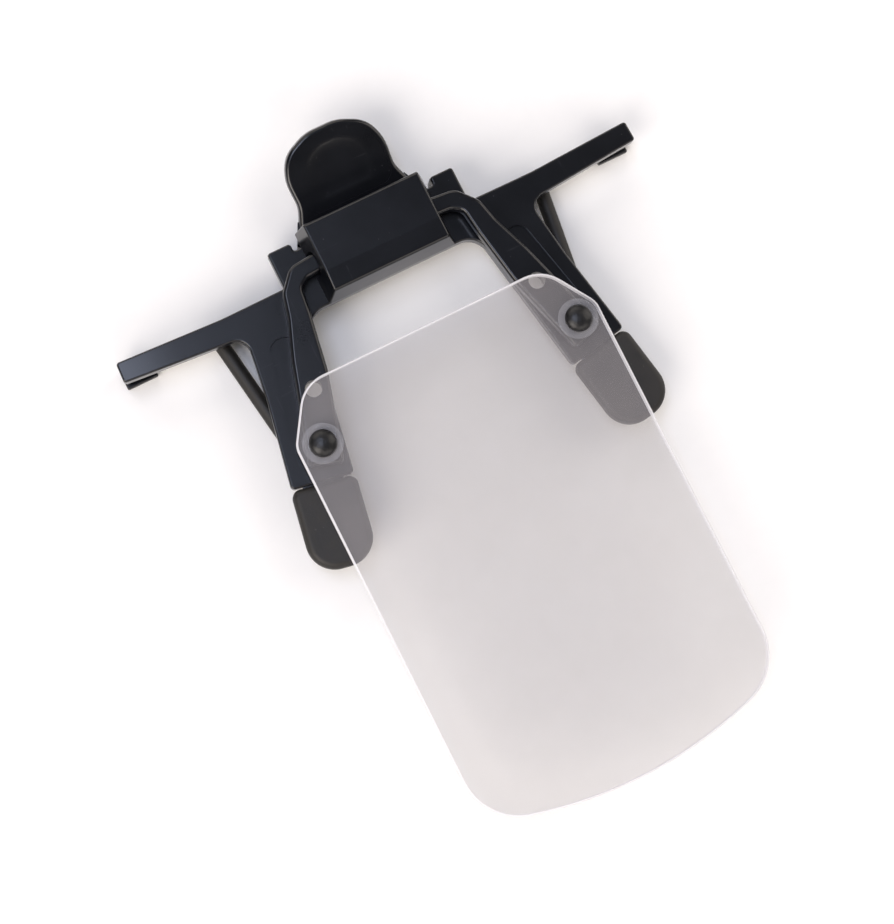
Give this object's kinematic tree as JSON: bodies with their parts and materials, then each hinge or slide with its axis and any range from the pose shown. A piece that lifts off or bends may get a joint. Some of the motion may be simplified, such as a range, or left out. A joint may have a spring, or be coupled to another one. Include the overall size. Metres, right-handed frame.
{
  "type": "head visor magnifier",
  "caption": "Clip-on flip-up visor: a sprung brow clip with hooked side arms and rubber-tipped jaws, carrying a yoke with a hazy flat lens plate.",
  "frame": {"origin": "middle of the underside of the whole object, which lies on its back", "axes": "+X to the right seen from the front, +Y from the lens plate towards the thumb tab, +Z forwards, away from the wearer's face"},
  "size_m": [0.104, 0.1304, 0.0167],
  "materials": {
    "black_moulding": "semi-gloss moulded black plastic",
    "sleeve_rubber": "matte brownish black rubber",
    "hazy_acrylic": "clear acrylic with an even fine haze",
    "clear_plastic": "clear polished plastic",
    "rivet_black": "glossy black",
    "spring_steel": "drawn spring steel"
  },
  "bodies": {
    "clip": {"clip_frame": "black_moulding", "hinge_cover": "black_moulding", "detent_spring": "spring_steel", "lever_pin": "spring_steel", "torsion_spring": "spring_steel", "left_leg_sleeve": "sleeve_rubber", "right_leg_sleeve": "sleeve_rubber"},
    "flip_yoke": {"yoke": "black_moulding", "lens_plate": "hazy_acrylic", "left_rivet": "rivet_black", "right_rivet": "rivet_black", "left_rivet_washer": "clear_plastic", "right_rivet_washer": "clear_plastic", "left_rivet_ring": "spring_steel", "right_rivet_ring": "spring_steel"},
    "jaw_lever": {"thumb_lever": "black_moulding", "rear_wire": "spring_steel", "left_rear_sleeve": "sleeve_rubber", "right_rear_sleeve": "sleeve_rubber"}
  },
  "joints": [
    {"name": "flip_up", "type": "hinge", "parent": "clip", "child": "flip_yoke", "pos_m": [0, 0.04272, 0.0114], "axis": [-1, 0, 0], "range_deg": [0, 105]},
    {"name": "jaw_open", "type": "hinge", "parent": "clip", "child": "jaw_lever", "pos_m": [0, 0.04547, 0.0042], "axis": [1, 0, 0], "range_deg": [0, 16], "stiffness_Nm_per_rad": 0.12, "springref_deg": -14.32, "deforming": ["torsion_spring"]}
  ]
}
